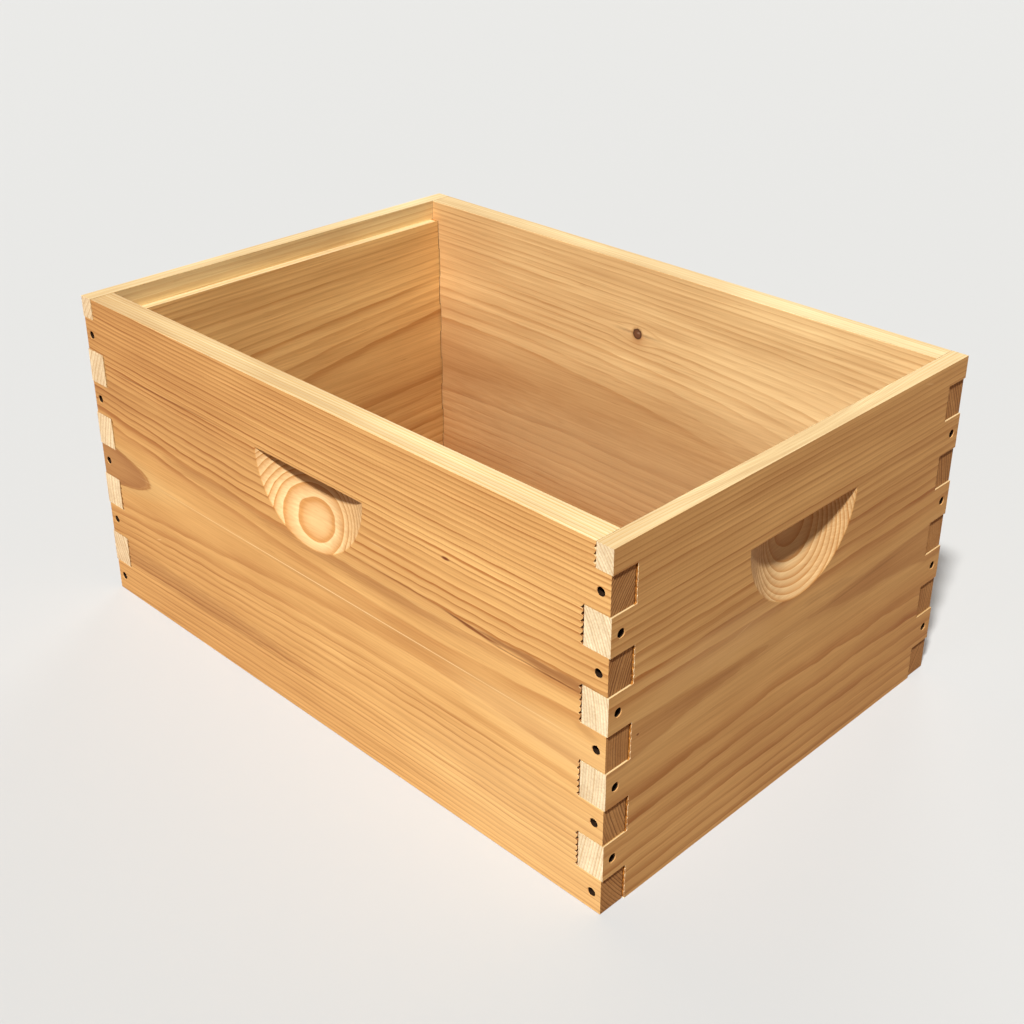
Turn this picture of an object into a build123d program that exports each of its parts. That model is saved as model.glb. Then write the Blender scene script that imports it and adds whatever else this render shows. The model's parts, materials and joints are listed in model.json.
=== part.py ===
from build123d import *
import os

# Open hive box of four pine boards, finger-jointed at the corners and nailed both ways.
# Millimetres. +X runs along the long sides, +Y from front to back, +Z up.
# The origin is under the middle of the box, on the surface that it stands on.

INCH = 25.4

# Overall size, over the faces of the boards
BOX_LENGTH = 20 * INCH
BOX_WIDTH = 13.75 * INCH
BOX_HEIGHT = 9.625 * INCH

# Boards
SIDE_THICKNESS = 0.75 * INCH
END_THICKNESS = 0.75 * INCH

# Frame rest: a rebate along the inner top edge of each end board
REST_DEPTH = 0.625 * INCH
REST_LEDGE = 7.15

# Finger joint: sides and ends take turns from the bottom up to the frame rest,
# and the narrow wall over the rest is one more finger of the end board
FINGER_COUNT = 9
FINGER_CLEARANCE = 0.05
SIDE_FINGER_SETBACK = 1.0
SIDE_NOTCH_RELIEF = 1.2
END_NOTCH_RELIEF = 0.8

# Handhold: half of a round dish, with a flat roof for the fingers
HANDHOLD_RADIUS = 54.0
HANDHOLD_DEPTH = 0.5 * INCH
HANDHOLD_DROP = 2 * INCH

# Nails, driven through each full finger and set below its face
NAIL_LENGTH = 2.25 * INCH
NAIL_SHANK_DIAMETER = 2.9
NAIL_HEAD_DIAMETER = 5.3
NAIL_HEAD_THICKNESS = 1.3
NAIL_POINT_LENGTH = 4.5
NAIL_POINT_FLAT = 0.5
NAIL_SETTING_DEPTH = 6.0
NAIL_EDGE_DISTANCE = 8.0
NAIL_FIT_CLEARANCE = 0.05
SUNK_HOLE_DIAMETER = 5.6

# Wire and bores are drawn with flat sides, because there are many of them
NAIL_SIDES = 8
SUNK_HOLE_SIDES = 24

# Sizes worked out from the driving ones
rest_height = BOX_HEIGHT - REST_DEPTH
rest_wall = END_THICKNESS - REST_LEDGE
finger_height = rest_height / FINGER_COUNT
side_length = BOX_LENGTH - 2 * SIDE_FINGER_SETBACK
roof_height = BOX_HEIGHT - HANDHOLD_DROP
dish_radius = (HANDHOLD_RADIUS**2 + HANDHOLD_DEPTH**2) / (2 * HANDHOLD_DEPTH)
nail_tip_depth = NAIL_SETTING_DEPTH + NAIL_LENGTH

# Fingers are numbered from the bottom: the even ones belong to the sides, the odd ones to the ends
side_fingers = range(0, FINGER_COUNT, 2)
end_fingers = range(1, FINGER_COUNT, 2)

# Each board is drawn face on, with X along it, Y up from its bottom edge and Z out of the box.
# These planes stand the drawn face on its side of the box.
front_face = Plane((0, -BOX_WIDTH / 2, 0), x_dir=(1, 0, 0), z_dir=(0, -1, 0))
back_face = Plane((0, BOX_WIDTH / 2, 0), x_dir=(-1, 0, 0), z_dir=(0, 1, 0))
right_face = Plane((BOX_LENGTH / 2, 0, 0), x_dir=(0, 1, 0), z_dir=(1, 0, 0))
left_face = Plane((-BOX_LENGTH / 2, 0, 0), x_dir=(0, -1, 0), z_dir=(-1, 0, 0))


def finger_middle(number):
    """Height of the middle of a finger."""
    return (number + 0.5) * finger_height


def notch_pair(bottom, top, inner_half_length, outer_half_length):
    """Two rectangles that cut one finger's notch in both ends of a drawn board."""
    depth = outer_half_length - inner_half_length
    notch = Rectangle(depth, top - bottom, align=(Align.MIN, Align.MIN))
    right_notch = Pos(inner_half_length, bottom) * notch
    return right_notch + mirror(right_notch, about=Plane.YZ)


def finger_notches(numbers, inner_half_length, outer_half_length):
    """The notches that let the other board's fingers into a drawn board."""
    notches = Sketch()
    for number in numbers:
        bottom = number * finger_height - FINGER_CLEARANCE
        top = (number + 1) * finger_height + FINGER_CLEARANCE
        notches += notch_pair(bottom, top, inner_half_length, outer_half_length)
    return notches


def drawn_outline(length):
    """A plain board seen face on, standing on its bottom edge."""
    return Rectangle(length, BOX_HEIGHT, align=(Align.CENTER, Align.MIN))


def handhold():
    """The dish that is cut out below the flat roof, in a drawn board's face."""
    ball = Pos(0, roof_height, dish_radius - HANDHOLD_DEPTH) * Sphere(dish_radius)
    below_roof = Pos(0, roof_height, 0) * Box(
        2 * dish_radius,
        2 * dish_radius,
        2 * HANDHOLD_DEPTH,
        align=(Align.CENTER, Align.MAX, Align.CENTER),
    )
    return ball & below_roof


def side_board():
    """A long side, drawn face on: notched for the fingers of both ends."""
    half_length = side_length / 2
    notch_base = BOX_LENGTH / 2 - END_THICKNESS - SIDE_NOTCH_RELIEF
    wall_base = BOX_LENGTH / 2 - rest_wall - SIDE_NOTCH_RELIEF
    outline = drawn_outline(side_length)
    outline -= finger_notches(end_fingers, notch_base, half_length)
    outline -= notch_pair(rest_height - FINGER_CLEARANCE, BOX_HEIGHT, wall_base, half_length)
    return extrude(outline, amount=-SIDE_THICKNESS) - handhold()


def end_board():
    """An end, drawn face on: notched for the fingers of both sides and rebated for the frames."""
    half_length = BOX_WIDTH / 2
    notch_base = half_length - SIDE_THICKNESS - END_NOTCH_RELIEF
    outline = drawn_outline(BOX_WIDTH)
    outline -= finger_notches(side_fingers, notch_base, half_length)
    rebate = Pos(0, rest_height, -rest_wall) * Box(
        BOX_WIDTH,
        REST_DEPTH,
        REST_LEDGE,
        align=(Align.CENTER, Align.MIN, Align.MAX),
    )
    return extrude(outline, amount=-END_THICKNESS) - handhold() - rebate


def round_section(diameter, depth, sides):
    """A round section drawn with flat sides, at a depth below a board's face."""
    return Pos(0, 0, -depth) * RegularPolygon(diameter / 2, sides)


def nail_point():
    """The point of a nail, from its wide end at Z = 0 down: wire pinched by four flats to a square tip."""
    tip_start = (NAIL_SHANK_DIAMETER - NAIL_POINT_FLAT) / 2
    tip_stop = (NAIL_SHANK_DIAMETER + NAIL_POINT_FLAT) / 2
    flats = Rot(X=-90) * Wedge(
        NAIL_SHANK_DIAMETER,
        NAIL_POINT_LENGTH,
        NAIL_SHANK_DIAMETER,
        tip_start,
        tip_start,
        tip_stop,
        tip_stop,
        align=(Align.CENTER, Align.MIN, Align.CENTER),
    )
    wire = extrude(round_section(NAIL_SHANK_DIAMETER, 0, NAIL_SIDES), amount=-NAIL_POINT_LENGTH)
    return wire & flats


def nail():
    """One nail, driven along -Z from a board's face at Z = 0, with its head set below the face."""
    head_bottom = NAIL_SETTING_DEPTH + NAIL_HEAD_THICKNESS
    point_top = nail_tip_depth - NAIL_POINT_LENGTH
    head_section = round_section(NAIL_HEAD_DIAMETER, NAIL_SETTING_DEPTH, NAIL_SIDES)
    shank_section = round_section(NAIL_SHANK_DIAMETER, head_bottom, NAIL_SIDES)
    head = extrude(head_section, amount=-NAIL_HEAD_THICKNESS)
    shank = extrude(shank_section, amount=head_bottom - point_top)
    return head + shank + Pos(0, 0, -point_top) * nail_point()


def nail_bore():
    """The room that one nail takes in the boards: its wide sunk hole, then the way of its shank."""
    sunk_depth = NAIL_SETTING_DEPTH + NAIL_HEAD_THICKNESS
    shank_bore_diameter = NAIL_SHANK_DIAMETER + 2 * NAIL_FIT_CLEARANCE
    sunk_hole = extrude(round_section(SUNK_HOLE_DIAMETER, 0, SUNK_HOLE_SIDES), amount=-sunk_depth)
    shank_hole = extrude(round_section(shank_bore_diameter, 0, NAIL_SIDES), amount=-nail_tip_depth)
    return sunk_hole + shank_hole


def nail_row(face, half_length, numbers, way):
    """Places of the nails in one corner's fingers, on a face, at its end in the given way."""
    along = way * (half_length - NAIL_EDGE_DISTANCE)
    return [face * Pos(along, finger_middle(number), 0) for number in numbers]


# One row of nails through the side and one through the end, at each corner
nail_rows = {
    "front_left_side_nails": nail_row(front_face, BOX_LENGTH / 2, side_fingers, -1),
    "front_right_side_nails": nail_row(front_face, BOX_LENGTH / 2, side_fingers, 1),
    "back_left_side_nails": nail_row(back_face, BOX_LENGTH / 2, side_fingers, 1),
    "back_right_side_nails": nail_row(back_face, BOX_LENGTH / 2, side_fingers, -1),
    "front_left_end_nails": nail_row(left_face, BOX_WIDTH / 2, end_fingers, 1),
    "front_right_end_nails": nail_row(right_face, BOX_WIDTH / 2, end_fingers, -1),
    "back_left_end_nails": nail_row(left_face, BOX_WIDTH / 2, end_fingers, -1),
    "back_right_end_nails": nail_row(right_face, BOX_WIDTH / 2, end_fingers, 1),
}

boards = {
    "front_side": front_face * side_board(),
    "back_side": back_face * side_board(),
    "left_end": left_face * end_board(),
    "right_end": right_face * end_board(),
}


def bored(board_name, board):
    """A board with the bores of every nail that passes through it or ends in it."""
    place = board_name.split("_")[0]
    rows = [places for row_name, places in nail_rows.items() if place in row_name]
    bores = [place_of_nail * nail_bore() for places in rows for place_of_nail in places]
    return board - bores


pieces = {name: bored(name, board) for name, board in boards.items()}
for name, places in nail_rows.items():
    pieces[name] = Compound(children=[place * nail() for place in places])

os.makedirs("parts", exist_ok=True)
for name, piece in pieces.items():
    export_step(piece, f"parts/{name}.step")
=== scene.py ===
"""Deep hive box of four pine boards, with finger-jointed corners, sunk nails and scooped handholds."""
import json
import random
from math import atan2, cos, pi, radians, sin, sqrt
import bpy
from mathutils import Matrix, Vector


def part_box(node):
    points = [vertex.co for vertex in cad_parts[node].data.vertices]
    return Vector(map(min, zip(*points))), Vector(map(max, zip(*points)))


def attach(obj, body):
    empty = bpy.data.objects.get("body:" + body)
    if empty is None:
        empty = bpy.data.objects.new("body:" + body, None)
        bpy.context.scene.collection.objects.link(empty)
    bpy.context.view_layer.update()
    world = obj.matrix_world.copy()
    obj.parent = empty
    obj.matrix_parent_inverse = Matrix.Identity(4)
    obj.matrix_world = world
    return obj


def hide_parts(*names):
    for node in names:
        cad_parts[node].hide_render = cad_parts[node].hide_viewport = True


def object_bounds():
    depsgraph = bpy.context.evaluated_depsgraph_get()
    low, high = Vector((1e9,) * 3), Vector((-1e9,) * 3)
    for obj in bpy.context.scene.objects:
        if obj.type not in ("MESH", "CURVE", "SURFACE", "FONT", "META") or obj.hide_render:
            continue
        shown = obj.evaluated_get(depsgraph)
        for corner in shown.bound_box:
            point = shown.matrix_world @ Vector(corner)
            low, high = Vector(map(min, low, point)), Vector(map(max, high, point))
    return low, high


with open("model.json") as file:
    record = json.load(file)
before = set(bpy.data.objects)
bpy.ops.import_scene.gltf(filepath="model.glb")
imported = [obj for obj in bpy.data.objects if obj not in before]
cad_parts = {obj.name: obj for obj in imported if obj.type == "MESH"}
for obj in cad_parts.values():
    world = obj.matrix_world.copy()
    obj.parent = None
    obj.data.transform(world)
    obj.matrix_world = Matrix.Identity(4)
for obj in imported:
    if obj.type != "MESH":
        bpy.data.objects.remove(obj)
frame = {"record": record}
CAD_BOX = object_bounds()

from types import SimpleNamespace

import bmesh
import bpy
from bpy.props import FloatProperty, FloatVectorProperty, IntProperty, PointerProperty
from bpy.types import Operator, Panel, PropertyGroup
from mathutils import Matrix, Vector

bl_info = {
    "name": "Hive box",
    "version": (1, 0, 0),
    "blender": (4, 5, 0),
    "location": "View3D > Sidebar > Hive box",
    "description": "Builds a finger-jointed pine hive box with sunk nails and scooped handholds",
    "category": "Object",
}

# Sizes that the frame gives, in metres
BOX_LENGTH, BOX_WIDTH, BOX_HEIGHT = CAD_BOX[1] - CAD_BOX[0]
SIDE_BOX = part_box("front_side")
END_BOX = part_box("right_end")
SIDE_LENGTH = SIDE_BOX[1].x - SIDE_BOX[0].x
SIDE_THICKNESS = SIDE_BOX[1].y - SIDE_BOX[0].y
END_THICKNESS = END_BOX[1].x - END_BOX[0].x
MOUNTS = {mount["name"]: mount for mount in frame["record"]["mounts"]}
REST_HEIGHT = MOUNTS["right_frame_rest"]["pos_m"][2]

# The shaders measure the wood in millimetres
MM = 1000.0

# Each board is drawn face on, with X along it, Y up from its bottom edge and Z out of the box
FACES = {
    "front": (Vector((1, 0, 0)), Vector((0, -1, 0)), BOX_WIDTH / 2),
    "back": (Vector((-1, 0, 0)), Vector((0, 1, 0)), BOX_WIDTH / 2),
    "right": (Vector((0, 1, 0)), Vector((1, 0, 0)), BOX_LENGTH / 2),
    "left": (Vector((0, -1, 0)), Vector((-1, 0, 0)), BOX_LENGTH / 2),
}
UP = Vector((0, 0, 1))

# Rows of nails: the face that they are driven through, the end of it, as drawn, and their first finger
NAIL_ROWS = {
    "front_left_side_nails": ("front", -1, 0),
    "front_right_side_nails": ("front", 1, 0),
    "back_left_side_nails": ("back", 1, 0),
    "back_right_side_nails": ("back", -1, 0),
    "front_left_end_nails": ("left", 1, 1),
    "front_right_end_nails": ("right", -1, 1),
    "back_left_end_nails": ("left", -1, 1),
    "back_right_end_nails": ("right", 1, 1),
}


# Properties

def length(name, description, default):
    """A property for a size in metres."""
    return FloatProperty(name=name, description=description, default=default, unit="LENGTH", precision=5)


def plain(name, description, default):
    """A property for a number without a unit."""
    return FloatProperty(name=name, description=description, default=default, precision=4)


def per_metre(name, description, default):
    """A property for a change along each metre."""
    return plain(name, description + ", per metre", default)


def angle(name, description, degrees):
    """A property for an angle."""
    return FloatProperty(name=name, description=description, default=radians(degrees), subtype="ANGLE")


def direction(name, description, default):
    """A property for a direction in the box's frame."""
    return FloatVectorProperty(name=name, description=description, default=default, subtype="XYZ")


def colour(name, description, default):
    """A property for a linear colour."""
    return FloatVectorProperty(
        name=name, description=description, default=default, size=3, subtype="COLOR", min=0.0, max=1.0
    )


class HIVE_PG_joinery(PropertyGroup):
    """Sizes of the boards' joints, handholds and eased edges."""

    finger_count: IntProperty(
        name="Fingers", description="Fingers from the bottom up to the frame rest", default=9, min=3
    )
    rest_ledge: length("Frame rest", "Width of the ledge that carries the frames", 0.00715)
    finger_clearance: length("Finger clearance", "Gap above and below a finger", 0.00005)
    side_notch_relief: length("Side notch relief", "Gap behind an end board's finger", 0.0008)
    rest_wall_relief: length("Rest wall relief", "Gap behind the wall over a frame rest", 0.00025)
    end_notch_relief: length("End notch relief", "Gap behind a side board's finger", 0.0008)
    arris: length("Arris", "Width of the eased edges", 0.00035)
    sharp_angle: angle("Sharp angle", "Angle over which an edge looks sharp", 18.0)
    handhold_radius: length("Handhold radius", "Half of the handhold's width", 0.054)
    handhold_depth: length("Handhold depth", "Depth of the handhold under its roof", 0.0127)
    handhold_drop: length("Handhold drop", "From the top rim down to the handhold's roof", 0.0508)
    gouge_pitch: length("Gouge pitch", "Spacing of the cutter's gouges in a notch", 0.0044)
    gouge_height: length("Gouge height", "Height of one gouge's mouth", 0.0032)
    gouge_reach: length("Gouge reach", "Depth of the gouges behind the board's face", 0.0022)
    side_gouge_depth: length("Side gouge depth", "Depth of the gouges in a side's notches", 0.0019)
    end_gouge_depth: length("End gouge depth", "Depth of the gouges in an end's notches", 0.0004)


class HIVE_PG_nails(PropertyGroup):
    """Sizes of the nails and of the holes that they are sunk in."""

    nail_length: length("Length", "Length of a nail", 0.05715)
    shank: length("Shank", "Diameter of the wire", 0.0029)
    head: length("Head", "Diameter of the head", 0.0053)
    head_thickness: length("Head thickness", "Thickness of the head", 0.0013)
    point: length("Point", "Length of the point", 0.0045)
    setting: length("Setting depth", "Depth of the head below the board's face", 0.006)
    edge_distance: length("Edge distance", "From the corner of the box to a nail", 0.008)
    hole: length("Hole", "Diameter of the hole over the head", 0.0056)
    fit: length("Fit", "Gap between the shank and the wood", 0.00005)
    steel: colour("Steel", "Colour of the wire", (0.42, 0.40, 0.38))
    # The hole colour is painted shade: the inside of a deep hole made near black
    hole_stain: colour("Hole stain", "Colour of the crushed wood in a hole", (0.016, 0.008, 0.004))
    hole_rim: colour("Hole rim", "Colour of the torn wood at a hole's mouth", (0.62, 0.33, 0.12))


class HIVE_PG_finish(PropertyGroup):
    """Colours that the bare pine of all boards shares."""

    cut_earlywood: colour("Fresh earlywood", "Pale wood of a fresh cut", (0.86, 0.588, 0.284))
    cut_latewood: colour("Fresh latewood", "Dark lines of a fresh cut", (0.600, 0.286, 0.087))
    rim_earlywood: colour("Rim earlywood", "Pale wood of a sawn edge", (0.690, 0.525, 0.285))
    rim_latewood: colour("Rim latewood", "Dark lines of a sawn edge", (0.600, 0.372, 0.135))
    resin: colour("Resin", "What is left of the wood's colour in a streak of resin", (0.31, 0.145, 0.093))
    nick: colour("Nick", "Pale lines of a planer's chipped knife", (0.95, 0.68, 0.34))


# What steers one board's growth rings and colours
FIGURE = {
    "pith_height": (length, "Height of the tree's heart"),
    "pith_depth": (length, "Depth of the tree's heart behind the outer face"),
    "taper": (plain, "Growth of that depth along the board"),
    "bow": (per_metre, "Bend of the tree's heart along the board"),
    "bow_centre": (length, "Where the bend is deepest"),
    "arch": (per_metre, "Rise of the tree's heart in an arch along the board"),
    "arch_centre": (length, "Where the arch is highest"),
    "tilt": (plain, "Rise of the tree's heart along the board"),
    "lean": (plain, "Rise of the tree's heart with depth behind the handhold"),
    "upper_spread": (plain, "Stretch of the rings above the heart"),
    "lower_spread": (plain, "Stretch of the rings below the heart"),
    "ring": (length, "Width of a year's ring"),
    "wide_ring": (length, "Extra width of one wide ring"),
    "ring_edge": (length, "Where that wide ring starts, out from the heart's depth"),
    "heart_blend": (length, "Width of the change to the darker heartwood inside"),
    "heart_shade": (plain, "Darkness of the heartwood"),
    "waver": (length, "How far the rings wander"),
    "contrast": (plain, "Strength of the dark lines"),
    "heart_calm": (plain, "How much the lines fade close to the tree's heart"),
    "low_calm": (plain, "How much the lines fade below the tree's heart"),
    "rim_calm": (plain, "How much the lines fade towards the top rim"),
    # Fade makes a board brighter towards one end and darker towards the other
    "fade": (per_metre, "Change of tone along the board"),
    # Darker or paler towards the bottom of a board; on the back and left boards the darkening is painted
    # shade low inside the box
    "low_tone": (plain, "Tone of the lower half beside the upper half"),
    "chatter": (plain, "Strength of the planer's ripple"),
    "seed": (plain, "Choice of the random pattern"),
    "earlywood": (colour, "Pale wood between the lines of a planed face"),
    "latewood": (colour, "Dark lines of a planed face"),
    # End colours are partly painted light: paler where the end grain faces the main light, darker where the
    # light only grazes it
    "end_earlywood": (colour, "Pale wood of the end grain"),
    "end_latewood": (colour, "Dark lines of the end grain"),
    # The notch colour is painted shade: the walls inside the joints made darker than the end grain
    "notch": (colour, "Wood inside the notches"),
}

# A straight tree with even rings, which each board departs from in its own way
STRAIGHT_TREE = {
    "taper": 0.0, "bow": 0.0, "bow_centre": 0.0, "arch": 0.0, "arch_centre": 0.0, "tilt": 0.0, "lean": 0.0,
    "upper_spread": 1.0, "lower_spread": 1.0, "wide_ring": 0.0, "low_calm": 0.0, "rim_calm": 0.0,
    "fade": 0.0, "chatter": 0.0,
}
# End grain colours are partly the wood's own and partly painted light: paler on end grain that faces the main
# light, darker on end grain that the light only grazes
PALE_LIT_END_GRAIN = {
    "end_earlywood": (0.98, 0.85, 0.57), "end_latewood": (0.83, 0.60, 0.32), "notch": (0.50, 0.205, 0.036),
}
WARM_LIT_END_GRAIN = {
    "end_earlywood": (0.94, 0.76, 0.48), "end_latewood": (0.76, 0.52, 0.27), "notch": (0.50, 0.205, 0.036),
}
DARK_SHADED_END_GRAIN = {
    "end_earlywood": (0.49, 0.235, 0.076), "end_latewood": (0.23, 0.092, 0.027),
    "notch": (0.30, 0.120, 0.036),
}


def label(key):
    """A key in words, for a property or a socket."""
    return key.replace("_", " ").capitalize()


def figure_group(class_name, docstring, end_grain, **own):
    """A property group for one board's figure, with that board's own defaults."""
    defaults = STRAIGHT_TREE | end_grain | own
    properties = {key: kind(label(key), words, defaults[key]) for key, (kind, words) in FIGURE.items()}
    return type(class_name, (PropertyGroup,), {"__doc__": docstring, "__annotations__": properties})


HIVE_PG_front_figure = figure_group(
    "HIVE_PG_front_figure", "Figure of the front board: one pointed oval beside a wide pale ring.",
    DARK_SHADED_END_GRAIN,
    pith_height=0.114, pith_depth=0.150, taper=0.006, bow=0.0326, ring=0.0020, wide_ring=0.0012,
    ring_edge=-0.002335, heart_blend=0.00012, heart_shade=1.0, waver=0.0007, contrast=1.15,
    heart_calm=0.55, low_calm=0.32, fade=0.75, low_tone=1.04, chatter=0.012, seed=3.0,
    earlywood=(0.790, 0.445, 0.154), latewood=(0.460, 0.170, 0.039),
)
# The back's lower darkening is painted shade low inside the box, and it reaches the outer face too
HIVE_PG_back_figure = figure_group(
    "HIVE_PG_back_figure", "Figure of the back board: fine rings above, wide arches below.",
    DARK_SHADED_END_GRAIN,
    pith_height=0.108, pith_depth=0.199, taper=-0.006, arch=0.3, arch_centre=0.140, ring=0.0025,
    ring_edge=-0.0122, heart_blend=0.012, heart_shade=0.2, waver=0.0006, contrast=0.78,
    heart_calm=0.6, rim_calm=0.2, fade=-0.42, low_tone=0.53, seed=11.0,
    earlywood=(0.825, 0.540, 0.242), latewood=(0.520, 0.232, 0.063),
)
HIVE_PG_right_figure = figure_group(
    "HIVE_PG_right_figure", "Figure of the right end: two pointed ovals, with wide rings below.",
    PALE_LIT_END_GRAIN,
    pith_height=0.116, pith_depth=0.130, bow=0.012, bow_centre=-0.0065, lean=4.4, upper_spread=0.85,
    lower_spread=0.55, ring=0.002, ring_edge=-0.00002, heart_blend=0.00004, heart_shade=0.30, waver=0.0005,
    contrast=1.2, heart_calm=0.3, low_calm=0.15, rim_calm=0.35, low_tone=0.97, chatter=0.01, seed=21.0,
    earlywood=(0.745, 0.428, 0.152), latewood=(0.455, 0.176, 0.038),
)
# The left end's lower darkening is painted shade low inside the box, and it reaches the outer face too
HIVE_PG_left_figure = figure_group(
    "HIVE_PG_left_figure", "Figure of the left end: fine rings above, slanting arches below.",
    WARM_LIT_END_GRAIN,
    pith_height=0.103, pith_depth=0.170, taper=0.008, tilt=-0.10, ring=0.0036, ring_edge=-0.0205,
    heart_blend=0.004, heart_shade=0.0, waver=0.0007, contrast=0.9, heart_calm=0.4, rim_calm=0.35,
    low_tone=0.66, seed=31.0, earlywood=(0.915, 0.580, 0.218), latewood=(0.580, 0.250, 0.060),
)


class HIVE_PG_stage(PropertyGroup):
    """The camera, the light and the floor."""

    azimuth: angle("Azimuth", "Camera's way round from the front face", 44.80)
    elevation: angle("Elevation", "Camera's height as an angle", 26.735)
    distance: length("Distance", "From the camera to its target", 1.11661)
    target: FloatVectorProperty(
        name="Target", description="Where the camera looks", subtype="TRANSLATION",
        default=(-0.0317, 0.0402, 0.12224),
    )
    lens: plain("Lens", "Focal length in millimetres", 52.22)
    sensor: plain("Sensor", "Width of the camera's sensor in millimetres", 36.0)
    sight: length("Sight", "How far the camera sees", 100.0)
    shift: plain("Shift", "Camera's vertical shift", -0.0605)
    sun_from: direction("Sun from", "Where the main light comes from", (0.42, -1.0, 1.55))
    sun_strength: plain("Sun", "Strength of the main light", 5.2)
    sun_angle: angle("Sun angle", "Softness of the shadows", 4.5)
    back_from: direction("Back light from", "Where the low light behind comes from", (-0.55, 1.0, 0.16))
    back_strength: plain("Back light", "Strength of the low light behind the box", 2.2)
    back_angle: angle("Back light angle", "Softness of the back light's shadows", 25.0)
    fill: plain("Fill", "Strength of the light from all round", 0.075)
    fill_colour: colour("Fill colour", "Colour of the light from all round", (1.0, 0.90, 0.78))
    floor: colour("Floor", "Colour of the floor as seen", (0.40, 0.40, 0.392))
    floor_lift: colour("Floor lift", "Light that the seen floor adds to its shadows", (0.17, 0.17, 0.167))
    floor_glow: colour("Floor glow", "Colour of the light that the floor throws back", (0.16, 0.070, 0.030))
    floor_size: length("Floor size", "Width of the floor", 12.0)
    floor_thickness: length("Floor thickness", "Thickness of the floor", 0.05)
    backdrop: colour("Backdrop", "Colour of the background past the floor", (0.88, 0.88, 0.865))


class HIVE_PG_settings(PropertyGroup):
    """All settings of the hive box."""

    joinery: PointerProperty(type=HIVE_PG_joinery)
    nails: PointerProperty(type=HIVE_PG_nails)
    finish: PointerProperty(type=HIVE_PG_finish)
    front: PointerProperty(type=HIVE_PG_front_figure)
    back: PointerProperty(type=HIVE_PG_back_figure)
    right: PointerProperty(type=HIVE_PG_right_figure)
    left: PointerProperty(type=HIVE_PG_left_figure)
    stage: PointerProperty(type=HIVE_PG_stage)


# Wiring of node trees

def sum_of(operation, swapped=False):
    """A method that adds a Math node for an operator between two values."""
    def method(self, other):
        values = (other, self) if swapped else (self, other)
        return self.wiring.math(operation, *values)
    return method


class Value:
    """An output of a node that takes part in sums, each of which adds a node."""

    def __init__(self, wiring, socket):
        self.wiring = wiring
        self.socket = socket

    __add__ = __radd__ = sum_of("ADD")
    __sub__ = sum_of("SUBTRACT")
    __rsub__ = sum_of("SUBTRACT", swapped=True)
    __truediv__ = sum_of("DIVIDE")
    __pow__ = sum_of("POWER")
    __rpow__ = sum_of("POWER", swapped=True)
    __lt__ = sum_of("LESS_THAN")
    __gt__ = sum_of("GREATER_THAN")

    def __mul__(self, other):
        """The product with a number, or part by part with three numbers."""
        product = self.wiring.vector if isinstance(other, tuple) else self.wiring.math
        return product("MULTIPLY", self, other)

    def __abs__(self):
        return self.wiring.math("ABSOLUTE", self)


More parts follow.
